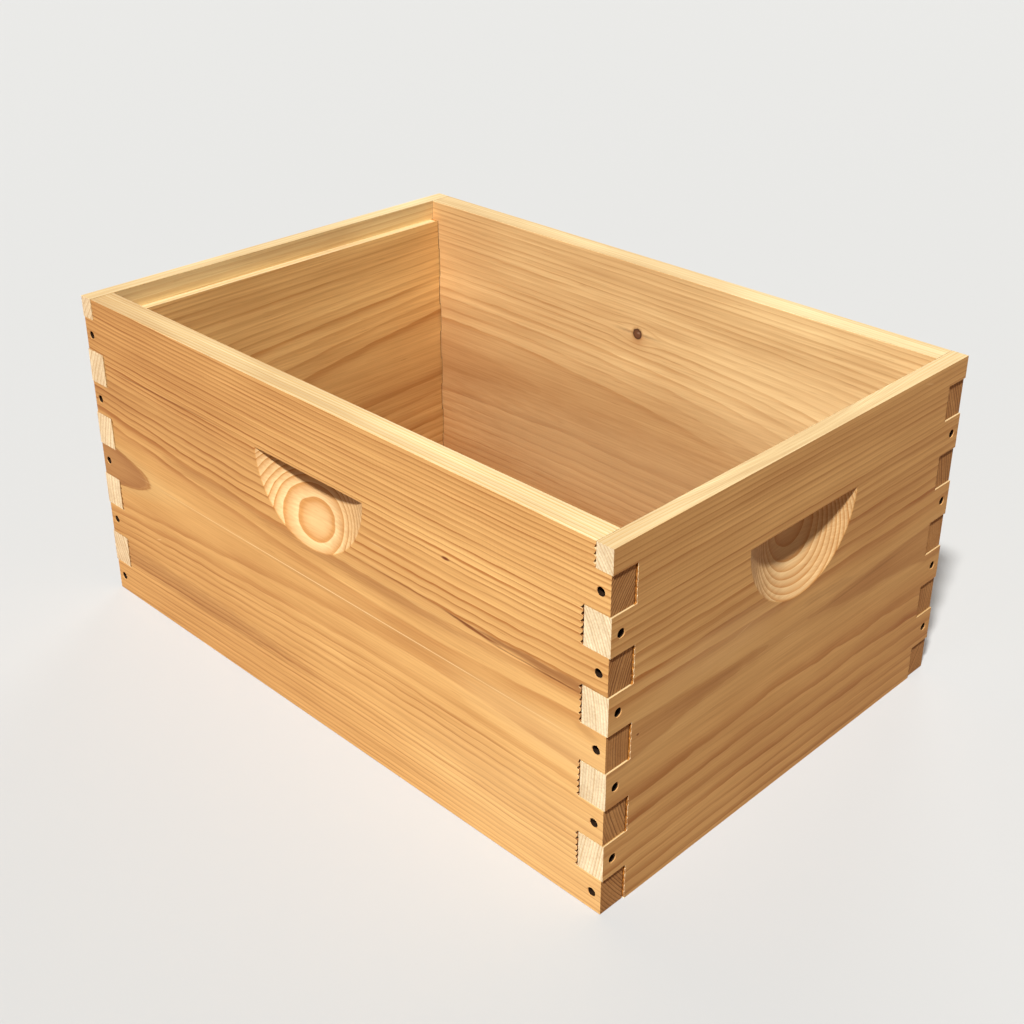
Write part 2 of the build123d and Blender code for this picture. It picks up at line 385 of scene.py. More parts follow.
class Wiring:
    """A node tree, with short ways to add nodes that are already wired."""

    def __init__(self, tree):
        self.tree = tree

    def put(self, value, socket):
        """Sets a socket to a plain value, or links it."""
        if isinstance(value, Value):
            self.tree.links.new(value.socket, socket)
        else:
            socket.default_value = value

    def node(self, kind, values=None, **settings):
        """Adds a node with its settings, then its inputs by name or number."""
        node = self.tree.nodes.new(kind)
        for name, setting in settings.items():
            setattr(node, name, setting)
        self.fill(node.inputs, values or {})
        return node

    def fill(self, inputs, values):
        """Sets or links several inputs by name or number."""
        for place, value in values.items():
            self.put(value, inputs[place])

    def add(self, kind, values=None, output=0, **settings):
        """Adds a node in the same way, and gives one of its outputs."""
        return Value(self, self.node(kind, values, **settings).outputs[output])

    def group(self, tree, values):
        """Adds a shader group whose inputs take their values by name, and gives its outputs by name."""
        node = self.node("ShaderNodeGroup", node_tree=tree)
        for socket in node.inputs:
            self.put(values[socket.name], socket)
        return {socket.name: Value(self, socket) for socket in node.outputs}

    def math(self, operation, *values):
        """The result of one sum."""
        return self.add("ShaderNodeMath", dict(enumerate(values)), operation=operation)

    def vector(self, operation, *values):
        """The result of one vector sum."""
        return self.add("ShaderNodeVectorMath", dict(enumerate(values)), operation=operation)

    def split(self, vector):
        """The three parts of a vector."""
        return [Value(self, part) for part in self.node("ShaderNodeSeparateXYZ", {0: vector}).outputs]

    def join(self, x, y, z):
        """A vector from three parts."""
        return self.add("ShaderNodeCombineXYZ", {0: x, 1: y, 2: z})

    def noise(self, place, detail=2.0, roughness=0.5, scale=1.0):
        """Smooth noise from 0 to 1."""
        values = {"Vector": place, "Scale": scale, "Detail": detail, "Roughness": roughness}
        return self.add("ShaderNodeTexNoise", values, noise_dimensions="3D")

    def chance(self, number):
        """A random number from 0 to 1 for each whole number."""
        return self.add("ShaderNodeTexWhiteNoise", {"W": number}, "Value", noise_dimensions="1D")

    def step(self, value, low, high, to_low=0.0, to_high=1.0):
        """A soft step from one level to another."""
        values = {0: value, 1: low, 2: high, 3: to_low, 4: to_high}
        return self.add("ShaderNodeMapRange", values, interpolation_type="SMOOTHSTEP")

    def bell(self, value, width):
        """A smooth hump of height 1 around 0."""
        return 2.718 ** ((value / width) ** 2.0 * -1.0)

    def mix(self, share, first, second, blend="MIX"):
        """A colour between two colours, or a colour that another one is laid over."""
        values = {0: share, 6: first, 7: second}
        return self.add("ShaderNodeMix", output=2, data_type="RGBA", blend_type=blend, values=values)

    def blend(self, share, first, second):
        """A number between two numbers."""
        return self.add("ShaderNodeMix", {0: share, 2: first, 3: second}, data_type="FLOAT")

    def seen(self):
        """1 where the camera sees, straight or in a reflection or through glass, and 0 for other light."""
        path = self.node("ShaderNodeLightPath").outputs
        camera, glossy, through = [
            Value(self, path[name]) for name in ("Is Camera Ray", "Is Glossy Ray", "Is Transmission Ray")
        ]
        return self.math("MAXIMUM", self.math("MAXIMUM", camera, glossy), through)

    def object_place(self):
        """The object's own coordinates, in metres."""
        return self.add("ShaderNodeTexCoord", output="Object")

    def bump(self, height, strength, distance):
        """A normal that follows a height."""
        return self.add("ShaderNodeBump", {"Height": height, "Strength": strength, "Distance": distance})


NUMBER = "NodeSocketFloat"
WHOLE = "NodeSocketInt"
VECTOR = "NodeSocketVector"
COLOUR = "NodeSocketColor"
GEOMETRY = "NodeSocketGeometry"
MATERIAL = "NodeSocketMaterial"
OBJECT = "NodeSocketObject"


def sockets(kind, names):
    """Sockets of one kind."""
    return dict.fromkeys(names.split(", "), kind)


def by_key(pairs):
    """Named things that are reached by a dot and the name in small letters."""
    return SimpleNamespace(**{name.lower().replace(" ", "_"): thing for name, thing in pairs if name})


def new_group(name, kind, inputs, outputs):
    """A new node group with its sockets, as (wiring, given values, sockets for its results)."""
    tree = bpy.data.node_groups.new(name, kind)
    for in_out, named in (("INPUT", inputs), ("OUTPUT", outputs)):
        for socket_name, socket_type in named.items():
            tree.interface.new_socket(name=socket_name, in_out=in_out, socket_type=socket_type)
    w = Wiring(tree)
    given = by_key((socket.name, Value(w, socket)) for socket in w.node("NodeGroupInput").outputs)
    result = by_key((socket.name, socket) for socket in w.node("NodeGroupOutput").inputs)
    return w, given, result


# Shader groups, all in millimetres in the board's own frame: X along the grain, Y up, Z out

# How tightly each kind of noise is packed along, up and out
SLOW_WANDER = (0.0055, 0.014, 0.014)
QUICK_RIPPLE = (0.028, 0.06, 0.06)
HEART_OUTLINE = (0.10, 0.5, 0.5)
LONG_STREAKS = (0.004, 0.10, 0.10)
FIBRES = (0.013, 0.70, 0.70)
RESIN_CANALS = (0.05, 1.3, 1.3)
CLOUDS = (0.009, 0.022, 0.022)
PLANED_PATCHES = (0.05, 0.16, 0.16)
STREAK_OUTLINE = (0.05, 0.5, 0.5)
KNOT_OUTLINE = (0.4, 0.5, 0.1)
END_GRAIN_SCALE = 2.2

# How far apart two seeds lie in the tree
SEED_SHIFT = 731.0

# Within a ring, from 0 to 1: where its dark line may start, is darkest and ends sharply, and how strong it is
LINE_START, LINE_START_RANGE = 0.30, 0.44
LINE_PEAK, LINE_END = 0.94, 0.96
LINE_STRENGTH, LINE_STRENGTH_RANGE = 0.20, 0.42

# Depths within which wood counts as a face's, an end's or the bottom's skin
FACE_SKIN, END_SKIN, BOTTOM_SKIN = 0.25, 0.6, 0.5

# How far the notches and the tops of the fingers reach from a board's end
NOTCH_REACH, FINGER_TOP_REACH = 22.0, 18.4

# Ripple of the planer's knives, in radians for each millimetre
KNIFE_RIPPLE = 2.05

# What the figure tells the surface
RING_RESULTS = sockets(NUMBER, "Lines, Ramp, Heart, Heart edge, Heart halo, Tone, Fibre, Canals")


def pine_figure_group():
    """Growth rings of a tree whose heart runs along the board, somewhere behind its face."""
    w, given, result = new_group(
        "Pine figure", "ShaderNodeTree",
        sockets(VECTOR, "Place") | sockets(
            NUMBER,
            "Pith height, Pith depth, Taper, Bow, Bow centre, Arch, Arch centre, Tilt, Lean, Upper spread, "
            "Lower spread, Ring, Wide ring, Ring edge, Heart blend, Waver, Seed, Heart calm, Low calm, "
            "Rim calm, Knot along, Knot height, Knot push"
        ),
        RING_RESULTS,
    )
    along, up, out = w.split(given.place)
    from_heart = up - given.pith_height
    shifted = w.vector("ADD", given.place, w.join(given.seed * SEED_SHIFT, 0.0, 0.0))

    # The heart wanders slowly along the tree, and its rings ripple a little
    wander = (w.noise(shifted * SLOW_WANDER, detail=1.0) - 0.5) * (given.waver * 2.0)
    ripple = (w.noise(shifted * QUICK_RIPPLE) - 0.5) * (given.waver * 1.6)
    waver = (wander + ripple) * w.step(abs(from_heart), 4.0, 45.0, 0.12, 1.0)

    # A knot pushes the rings aside all round it
    knot_up = up - given.knot_height
    knot = w.bell(along - given.knot_along, 17.0) * w.bell(knot_up, 11.0)
    push = knot * w.math("TANH", knot_up / 3.0) * given.knot_push

    # Close to the heart, the rings follow its arch and its tilt, and behind the handhold they lean
    arch = (along - given.arch_centre) ** 2.0 * given.arch
    sag = (arch - along * given.tilt) * w.bell(from_heart, 80.0)
    lean = out * given.lean * w.bell(along, 70.0)
    height = from_heart + (sag + lean)

    # Distance from the heart, with the rings spread differently above and below it
    spread = w.blend(w.step(height, -6.0, 6.0), given.lower_spread, given.upper_spread)
    spread_height = height * spread - push
    rise = along * given.taper - (along - given.bow_centre) ** 2.0 * given.bow
    depth = out + given.pith_depth + (rise + waver)
    distance = w.math("SQRT", depth ** 2.0 + spread_height ** 2.0)

    # Number of the ring, counted from the start of one wide ring
    from_edge = distance - given.pith_depth - given.ring_edge
    wide_share = given.wide_ring / (given.wide_ring + given.ring)
    extra = w.math("MINIMUM", w.math("MAXIMUM", from_edge * wide_share, 0.0), given.wide_ring)
    rings = (from_edge - extra) / given.ring

    # Inside that edge lies heartwood, with a ragged dark outline and paler wood round it
    ragged = w.noise(shifted * HEART_OUTLINE, detail=3.0) - 0.5
    from_heartwood = from_edge + ragged * w.math("MINIMUM", given.heart_blend, 0.12)
    heart = w.step(from_heartwood, given.heart_blend * -1.0, 0.0, 1.0, 0.0)
    halo = w.step(from_heartwood, 0.0, 1.0, 1.0, 0.0) - heart
    w.put(heart, result.heart)
    w.put(w.bell(from_heartwood, 0.05), result.heart_edge)
    w.put(w.math("MAXIMUM", halo, 0.0), result.heart_halo)

    # Rings are uneven in width, except close to the wide one
    uneven = w.noise(w.join(rings * 0.31, given.seed, 0.0), detail=1.0) - 0.5
    rings = rings + uneven * w.step(abs(rings), 0.6, 1.6) * 1.1
    number = w.math("FLOOR", rings)
    part = w.math("FRACT", rings)

    # Latewood darkens gradually through a ring and ends sharply, with finer lines beside it
    starts = LINE_START + w.chance(number + given.seed) * LINE_START_RANGE
    strength = LINE_STRENGTH + w.chance(number + given.seed * 2.0) * LINE_STRENGTH_RANGE
    broken = w.noise(w.join(along * 0.011, number * 3.7, given.seed), detail=1.0)
    strength = strength * w.step(broken, 0.30, 0.70, 0.55, 1.35)
    ends = w.step(part, LINE_END, 1.0, 1.0, 0.0)
    line = w.step(part, starts, LINE_PEAK) * ends
    fine = w.noise(w.join(distance * 1.5, along * 0.005, given.seed), detail=3.0) - 0.45
    lines = part ** 1.4 * 0.30 + line * strength + fine * 0.50

    # Lines fade close to the heart, below it and towards the rim
    lines = lines * w.step(abs(from_heart), 4.0, 48.0, 1.0 - given.heart_calm, 1.0)
    lines = lines * w.step(from_heart, -40.0, 0.0, 1.0 - given.low_calm, 1.0)
    lines = lines * w.step(up, 160.0, 200.0, 1.0, 1.0 - given.rim_calm)
    w.put(w.math("MINIMUM", w.math("MAXIMUM", lines, 0.0), 1.0), result.lines)
    w.put(part ** 1.3 * ends, result.ramp)

    # Groups of rings and long streaks differ in tone
    bands = w.noise(w.join(rings * 0.16, along * 0.0025, given.seed))
    narrow = w.noise(w.join(rings * 0.55, along * 0.004, given.seed + 5.0), detail=1.0)
    streaks = w.noise(shifted * LONG_STREAKS, detail=3.0)
    w.put(bands * 0.45 + narrow * 0.25 + streaks * 0.3, result.tone)

    # Fibres and resin canals run along the grain
    w.put(w.noise(shifted * FIBRES, detail=3.0, roughness=0.55), result.fibre)
    w.put(w.step(w.noise(shifted * RESIN_CANALS, detail=1.0), 0.68, 0.80), result.canals)
    return w.tree


def pine_surface_group():
    """Colour, roughness and height of bare pine: planed faces, fresh cuts, sawn rims and end grain."""
    numbers = "Thickness, Half length, Rest height, Contrast, Fade, Low tone, Chatter, Heart shade"
    colours = (
        "Earlywood, Latewood, Fresh earlywood, Fresh latewood, Rim earlywood, Rim latewood, "
        "End earlywood, End latewood, Notch"
    )
    w, given, result = new_group(
        "Pine surface", "ShaderNodeTree",
        sockets(VECTOR, "Place, Facing") | RING_RESULTS
        | sockets(NUMBER, numbers) | sockets(COLOUR, colours),
        sockets(COLOUR, "Color") | sockets(NUMBER, "Roughness, Height, Outer face, Inner face"),
    )
    along, up, out = w.split(given.place)
    facing_along, facing_up, facing_out = [abs(part) for part in w.split(given.facing)]

    # A cut surface faces out or in, but lies deeper than the planed faces
    under_outer = out < -FACE_SKIN
    under_inner = out > FACE_SKIN - given.thickness
    inside = under_outer * under_inner
    broad = w.step(facing_out, 0.5, 0.6)
    cut = inside * broad
    rim = w.step(facing_up, 0.75, 0.85)
    end = w.step(facing_along, 0.70, 0.85)

    # The walls of the notches lie between the fingers, and their darker colour is painted shade inside the
    # joints
    from_end = given.half_length - abs(along)
    between = (from_end < NOTCH_REACH) * (from_end > END_SKIN)
    below_rest = (up > BOTTOM_SKIN) * (up < given.rest_height)
    finger_top = rim * (from_end < FINGER_TOP_REACH)
    notch = between * inside * below_rest * (1.0 - finger_top)

    early, late = given.earlywood, given.latewood
    for share, its_early, its_late in (
        (cut, given.fresh_earlywood, given.fresh_latewood),
        (rim, given.rim_earlywood, given.rim_latewood),
        (end, given.end_earlywood, given.end_latewood),
        # Painted shade inside the joints: the notch colour, darker than the end grain
        (notch, given.notch, given.notch * (0.62, 0.55, 0.50)),
    ):
        early = w.mix(share, early, its_early)
        late = w.mix(share, late, its_late)

    # Lines show most on rims and end grain, and grade through each ring where the wood is freshly cut
    lines = given.lines * (given.contrast + (rim * 0.5 + end * 0.9))
    over_rest = up > given.rest_height
    graded = (given.ramp * 0.80 + given.lines * 0.45) * w.blend(over_rest, 1.0, 0.35)
    wood = w.mix(w.math("MINIMUM", w.blend(cut, lines, graded), 1.0), early, late)
    wood = w.mix(over_rest * cut, wood, wood * (1.03, 1.12, 1.10))

    # Darker heartwood shows on the planed faces
    planed = (1.0 - inside) * broad
    w.put(planed * under_inner, result.outer_face)
    w.put(planed * under_outer, result.inner_face)
    told = given.heart_shade * planed
    for share, tint in (
        (given.heart, (0.72, 0.66, 0.68)),
        (given.heart_halo, (1.03, 1.12, 1.22)),
        (given.heart_edge, (0.66, 0.52, 0.44)),
    ):
        wood = w.mix(share * told, wood, wood * tint)

    # Slow changes of tone, painted shade low inside the box on some boards and a steady change along the
    # board, then fibres, canals and the faint ripple of the planer's knives
    tone = w.step(given.tone, 0.32, 0.68, 1.11, 0.84)
    tone = tone * w.step(w.noise(given.place * CLOUDS), 0.30, 0.70, 0.94, 1.06)
    # Darker or paler towards the bottom; on the back and left boards this is painted shade low inside the box
    low_tone = w.blend(end, w.step(up, 80.0, 185.0, given.low_tone, 1.0), 1.0)
    # Brighter towards one end of the board and darker towards the other
    fade = (1.0 + along * given.fade) * low_tone
    fibre = w.step(given.fibre, 0.25, 0.75, 0.90, 1.09)
    canals = 1.0 - given.canals * 0.22
    patches = w.step(w.noise(given.place * PLANED_PATCHES), 0.40, 0.60) * planed
    ripple = w.math("SINE", along * KNIFE_RIPPLE) * patches
    ripple = 1.0 + ripple * w.step(up, 150.0, 205.0, 0.0, given.chatter)
    shade = tone * fibre * (canals * ripple) * fade

    # Darker wood is redder, and paler wood is yellower
    tinted = w.join(*[shade ** power for power in (0.80, 1.15, 1.45)])
    w.put(w.vector("MULTIPLY", wood, tinted), result.color)
    w.put(0.66 - given.lines * 0.10 + end * 0.14, result.roughness)
    ridges = given.lines * 0.55 + given.fibre * 0.45
    w.put(w.blend(end, ridges, w.noise(given.place, scale=END_GRAIN_SCALE)), result.height)
    return w.tree


def streak_group():
    """A long ragged streak along the grain."""
    w, given, result = new_group(
        "Streak", "ShaderNodeTree",
        sockets(VECTOR, "Place")
        | sockets(NUMBER, "Along, Height, Half length, Half height, Slope, Ragged, Flare"),
        sockets(NUMBER, "Mask"),
    )
    along, up = w.split(given.place)[:2]
    from_middle = along - given.along
    lengthwise = from_middle / given.half_length
    middle = given.height + from_middle * given.slope
    widening = w.math("MAXIMUM", 1.0 + lengthwise * given.flare, 0.05)
    across = (up - middle) / (given.half_height * widening)
    ragged = (w.noise(given.place * STREAK_OUTLINE, detail=3.0) - 0.5) * given.ragged
    edge = w.math("SQRT", across ** 2.0 + lengthwise ** 2.0) + ragged
    w.put(w.step(edge, 0.35, 1.0, 1.0, 0.0), result.mask)
    return w.tree


class Shop:
    """Node groups and materials that several pieces share, made once."""

    figure = None

    @classmethod
    def open(cls, nails):
        """Makes them all, the first time."""
        if cls.figure is None:
            cls.figure = pine_figure_group()
            cls.surface = pine_surface_group()
            cls.streak = streak_group()
            cls.nail_row = nail_row_tree()
            cls.gouges = gouge_tree()
            cls.hole = hole_material(nails)


# Materials

def new_material(name):
    """A material with its Principled shader, as (material, wiring, shader's inputs)."""
    material = bpy.data.materials.new(name)
    material.use_nodes = True
    return material, Wiring(material.node_tree), material.node_tree.nodes["Principled BSDF"].inputs


def rgba(parts):
    """A colour as a socket takes it."""
    return (*parts, 1.0)


def figure_values(figure):
    """One board's figure by socket name, in the shaders' millimetres."""
    scales = {length: MM, plain: 1.0, per_metre: 1.0 / MM}
    values = {}
    for key, (kind, words) in FIGURE.items():
        value = getattr(figure, key)
        values[label(key)] = rgba(value) if kind is colour else value * scales[kind]
    return values


# Streaks on the front board: along, height, half length, half height, slope, darkness, raggedness and flare
FRONT_STREAKS = (
    (0.233, 0.1490, 0.125, 0.0056, -0.006, 0.66, 0.9, 1.0),
    (0.152, 0.1480, 0.028, 0.0016, -0.080, 0.92, 1.0, 0.0),
    (0.205, 0.1458, 0.048, 0.0008, 0.0, 0.60, 1.0, 0.0),
    (0.085, 0.1515, 0.060, 0.0007, -0.020, 0.35, 1.2, 0.5),
    (-0.150, 0.0385, 0.165, 0.0130, 0.0, 0.32, 0.9, 0.0),
    (-0.165, 0.1730, 0.150, 0.0240, 0.0, 0.12, 0.8, 0.0),
    (-0.120, 0.1435, 0.075, 0.0070, 0.0, 0.20, 1.2, 0.0),
    (0.050, 0.1400, 0.140, 0.0055, 0.0, 0.20, 1.2, 0.0),
    (0.105, 0.1420, 0.160, 0.0200, 0.0, 0.11, 0.9, 0.0),
    (-0.155, 0.1945, 0.100, 0.0008, 0.008, 0.50, 0.8, 0.0),
    (0.1277, 0.1860, 0.0046, 0.0015, 0.0, 1.0, 0.5, 0.0),
    (0.2390, 0.1225, 0.0100, 0.0040, -0.150, 0.20, 1.2, 0.0),
)

# Streaks and small marks on the right end, in the same form
RIGHT_STREAKS = (
    (-0.149, 0.1155, 0.0014, 0.0010, 0.0, 0.90, 0.3, 0.0),
    (-0.095, 0.1150, 0.055, 0.0050, 0.0, 0.10, 1.4, -0.6),
    (0.036, 0.1270, 0.044, 0.0050, -0.120, 0.16, 1.5, 0.0),
    (0.080, 0.1180, 0.080, 0.0012, 0.060, 0.22, 0.9, 0.0),
)

# Wide pale sapwood, and pale nicks that a chipped planer knife left, in the same form
FRONT_NICKS = (
    (0.240, 0.0350, 0.190, 0.06000, 0.0, 0.15, 0.6, 0.0),
    (0.220, 0.1050, 0.120, 0.02000, 0.0, 0.16, 0.6, 0.0),
    (0.022, 0.1150, 0.300, 0.00052, 0.0, 0.90, 0.5, 0.0),
    (0.067, 0.1693, 0.011, 0.00040, 0.010, 0.45, 0.4, 0.0),
    (-0.187, 0.0695, 0.004, 0.00050, 0.400, 0.50, 0.6, 0.0),
)
BACK_NICKS = (
    (-0.160, 0.1600, 0.170, 0.07000, 0.0, 0.20, 0.6, 0.0),
    (0.000, 0.0600, 0.320, 0.06000, 0.0, 0.16, 0.6, 0.0),
)
RIGHT_NICKS = (
    (-0.075, 0.1410, 0.085, 0.02000, 0.0, 0.13, 0.8, 0.0),
    (-0.055, 0.1400, 0.014, 0.00040, 0.250, 0.30, 0.4, 0.0),
    (-0.006, 0.1130, 0.010, 0.00040, -0.050, 0.35, 0.4, 0.0),
    (0.128, 0.2390, 0.006, 0.00050, -0.300, 0.40, 0.5, 0.0),
)

# Each board's marked face, with its streaks, nicks and knot, which is given as along, height and push
MARKS = {
    "front": ("Outer face", FRONT_STREAKS, FRONT_NICKS, None),
    "back": ("Inner face", (), BACK_NICKS, (0.010, 0.189, 0.007)),
    "right": ("Outer face", RIGHT_STREAKS, RIGHT_NICKS, None),
    "left": ("Inner face", (), (), None),
}


def board_material(place, thickness, half_length):
    """Pine for one board, with that board's own rings, streaks and knot."""
    settings = bpy.context.scene.hive_box
    finish = settings.finish
    marked_face, streaks, nicks, knot = MARKS[place]
    knot_along, knot_height, knot_push = knot or (0.0, 0.0, 0.0)
    out_way, half_span = FACES[place][1:]
    turn = (-pi / 2, atan2(-out_way.x, -out_way.y), 0.0)
    material, w, shader = new_material("pine_" + place)

    standing = {
        "Vector": w.object_place(), "Location": (0.0, 0.0, -half_span * MM), "Rotation": turn,
        "Scale": (MM, MM, MM),
    }
    board_place = w.add("ShaderNodeMapping", standing, vector_type="POINT")
    normal = w.add("ShaderNodeNewGeometry", output="True Normal")
    facing = w.add("ShaderNodeMapping", {"Vector": normal, "Rotation": turn}, vector_type="VECTOR")

    values = figure_values(getattr(settings, place)) | {
        "Place": board_place, "Facing": facing, "Thickness": thickness * MM,
        "Half length": half_length * MM, "Rest height": REST_HEIGHT * MM,
        "Knot along": knot_along * MM, "Knot height": knot_height * MM, "Knot push": knot_push * MM,
        "Fresh earlywood": rgba(finish.cut_earlywood), "Fresh latewood": rgba(finish.cut_latewood),
        "Rim earlywood": rgba(finish.rim_earlywood), "Rim latewood": rgba(finish.rim_latewood),
    }
    rings = w.group(Shop.figure, values)
    wood = w.group(Shop.surface, values | rings)

    base = wood["Color"]
    marks = [(streak, finish.resin, "MULTIPLY") for streak in streaks]
    marks += [(nick, finish.nick, "MIX") for nick in nicks]
    for (along, height, reach, half_height, slope, strength, ragged, flare), tint, blend in marks:
        streak = w.group(Shop.streak, {
            "Place": board_place, "Along": along * MM, "Height": height * MM, "Half length": reach * MM,
            "Half height": half_height * MM, "Slope": slope, "Ragged": ragged, "Flare": flare,
        })
        base = w.mix(streak["Mask"] * wood[marked_face] * strength, base, rgba(tint), blend)
    if knot:
        base = knotted(w, board_place, knot_along * MM, knot_height * MM, base)

    normal = w.bump(wood["Height"], strength=0.35, distance=0.0002)
    w.fill(shader, {
        "Base Color": base, "Roughness": wood["Roughness"], "Normal": normal, "Specular IOR Level": 0.25,
    })
    return material


def knotted(w, place, knot_along, knot_height, base):
    """Adds a small round knot to a board's inner face: brown, with a dark edge and tails."""
    along, up, out = w.split(place)
    ragged = w.noise(place * KNOT_OUTLINE) - 0.5
    aside = along - knot_along
    above = up - knot_height + ragged * 1.2
    reach = w.math("SQRT", aside ** 2.0 + above ** 2.0) + ragged
    tails = w.bell(above, 1.1) * w.step(abs(aside), 4.0, 30.0, 0.45, 0.0)
    below = w.bell(aside, 8.0) * w.bell(above + 7.0, 2.6)
    halo = w.step(reach, 4.6, 7.0, 1.0, 0.0)
    heart = w.step(reach, 3.7, 4.7, 1.0, 0.0)
    bark = w.bell(reach - 3.8, 0.7)
    glint = w.bell(aside + 1.2, 1.3) * w.bell(above - 0.9, 0.8)
    inner = w.step(out, -17.0, -14.0, 1.0, 0.0)
    for share, strength, tint in (
        (tails, 1.0, (0.20, 0.075, 0.028)),
        (below, 0.55, (0.45, 0.180, 0.050)),
        (halo, 0.45, (0.48, 0.200, 0.060)),
        (heart, 1.0, (0.165, 0.064, 0.027)),
        (bark, 0.75, (0.055, 0.022, 0.011)),
        (glint, 0.55, (0.46, 0.290, 0.180)),
    ):
        base = w.mix(share * strength * inner, base, rgba(tint))
    return base


def hole_material(nails):
    """Crushed and darkened wood inside a nail hole, and torn pale wood at its mouth."""
    material, w, shader = new_material("sunk_hole")
    place = w.object_place() * (MM, MM, MM)
    # Painted shade inside the holes, in patches of two depths of darkness
    shading = w.step(w.noise(place, detail=3.0, scale=1.5), 0.35, 0.7)
    inside = w.mix(shading, rgba(nails.hole_stain), rgba([part * 2.0 for part in nails.hole_stain]))
    along, across = [abs(part) for part in w.split(place)[:2]]
    past_face = w.math("MAXIMUM", along - BOX_LENGTH / 2 * MM, across - BOX_WIDTH / 2 * MM)
    mouth = w.step(past_face, -0.60, -0.30)
    base = w.mix(mouth, inside, rgba(nails.hole_rim))
    w.fill(shader, {"Base Color": base, "Roughness": 0.9, "Specular IOR Level": 0.1})
    return material


def steel_material(nails):
    """Dull bright wire with a little rust."""
    material, w, shader = new_material("nail_wire")
    place = w.object_place() * (MM, MM, MM)
    scratches = w.noise(place * (1.0, 1.0, 0.4), detail=4.0, scale=1.7)
    rust = w.noise(place, detail=3.0, scale=0.5)
    rusted = [part * share for part, share in zip(nails.steel, (1.1, 0.62, 0.4))]
    w.fill(shader, {
        "Base Color": w.mix(w.step(rust, 0.5, 0.7), rgba(nails.steel), rgba(rusted)),
        "Roughness": w.step(scratches, 0.3, 0.7, 0.35, 0.6),
        "Metallic": w.step(rust, 0.5, 0.7, 0.95, 0.3),
        "Normal": w.bump(scratches, strength=0.3, distance=0.0001),
    })
    return material


# Geometry Nodes

# How much smaller or larger than the tooth a gouge may come out, in depth, height and reach
LEAST_BITE, MOST_BITE = (0.55, 0.75, 1.0), (1.15, 1.20, 1.0)


def line_of(w, count, first, spacing):
    """Points one above the other."""
    values = {"Count": count, "Start Location": first, "Offset": w.join(0.0, spacing, 0.0)}
    return w.add("GeometryNodeMeshLine", values)


def realized(w, geometry):
    """Geometry with its instances made real."""
    return w.add("GeometryNodeRealizeInstances", {"Geometry": geometry})


def finish_tree(w, geometry, material, result):
    """Ends a tree with real geometry in one material."""
    values = {"Geometry": realized(w, geometry), "Material": material}
    w.put(w.add("GeometryNodeSetMaterial", values), result)
    return w.tree


def nail_row_tree():
    """Repeats one nail, or one nail's bore, up a row of fingers."""
    w, given, result = new_group(
        "Nail row", "GeometryNodeTree",
        sockets(GEOMETRY, "Geometry") | sockets(WHOLE, "Count, Seed") | sockets(VECTOR, "First")
        | sockets(NUMBER, "Spacing") | sockets(MATERIAL, "Material"),
        sockets(GEOMETRY, "Geometry"),
    )
    points = line_of(w, given.count, given.first, given.spacing)
    turn = w.add("FunctionNodeRandomValue", {3: 2 * pi, "Seed": given.seed}, 1, data_type="FLOAT")
    row = {"Points": points, "Instance": given.geometry, "Rotation": w.join(0.0, 0.0, turn)}
    return finish_tree(w, w.add("GeometryNodeInstanceOnPoints", row), given.material, result.geometry)


def gouge_tree():
    """Cuts the rows of small gouges that the finger cutter leaves in the notches of a drawn board."""
    w, given, result = new_group(
        "Cutter gouges", "GeometryNodeTree",
        sockets(GEOMETRY, "Geometry") | sockets(OBJECT, "Gouge") | sockets(WHOLE, "Gouges, Notches, Seed")
        | sockets(NUMBER, "Pitch, Notch spacing") | sockets(VECTOR, "First") | sockets(MATERIAL, "Material"),
        sockets(GEOMETRY, "Geometry"),
    )
    column = line_of(w, given.gouges, (0.0, 0.0, 0.0), given.pitch)
    notches = line_of(w, given.notches, given.first, given.notch_spacing)
    places = realized(w, w.add("GeometryNodeInstanceOnPoints", {"Points": notches, "Instance": column}))
    bites = {0: LEAST_BITE, 1: MOST_BITE, "Seed": given.seed}
    bite = w.add("FunctionNodeRandomValue", bites, data_type="FLOAT_VECTOR")
    tooth = w.add("GeometryNodeObjectInfo", {"Object": given.gouge}, "Geometry")
    teeth = {"Points": places, "Instance": tooth, "Scale": bite}
    one_end = realized(w, w.add("GeometryNodeInstanceOnPoints", teeth))
    mirrored = w.add("GeometryNodeTransform", {"Geometry": one_end, "Scale": (-1.0, 1.0, 1.0)})
    other_end = w.add("GeometryNodeFlipFaces", {"Mesh": mirrored})
    both = w.node("GeometryNodeJoinGeometry")
    for cutters in (one_end, other_end):
        w.put(cutters, both.inputs[0])
    solids = {0: given.geometry, 1: Value(w, both.outputs[0])}
    cut = w.add("GeometryNodeMeshBoolean", solids, operation="DIFFERENCE", solver="EXACT")
    return finish_tree(w, cut, given.material, result.geometry)


def set_inputs(modifier, values):
    """Sets a Geometry Nodes modifier's inputs by their names."""
    for item in modifier.node_group.interface.items_tree:
        if item.item_type == "SOCKET" and item.in_out == "INPUT" and item.name in values:
            modifier[item.identifier] = values[item.name]


# Meshes

def new_object(name, data, material=None):
    """Puts a mesh, a light or a camera in the scene."""
    thing = bpy.data.objects.new(name, data)
    if material:
        data.materials.append(material)
    bpy.context.scene.collection.objects.link(thing)
    return thing


def aimed(name, data, way):
    """Puts a light or a camera in the scene that points in a direction."""
    thing = new_object(name, data)
    thing.rotation_mode = "QUATERNION"
    thing.rotation_quaternion = way.to_track_quat("-Z", "Y")
    return thing


def mesh_of(name, build):
    """A mesh from a function that fills a bmesh, with its faces pointing outwards."""
    shape = bmesh.new()
    build(shape)
    bmesh.ops.recalc_face_normals(shape, faces=shape.faces)
    mesh = bpy.data.meshes.new(name)
    shape.to_mesh(mesh)
    shape.free()
    return mesh


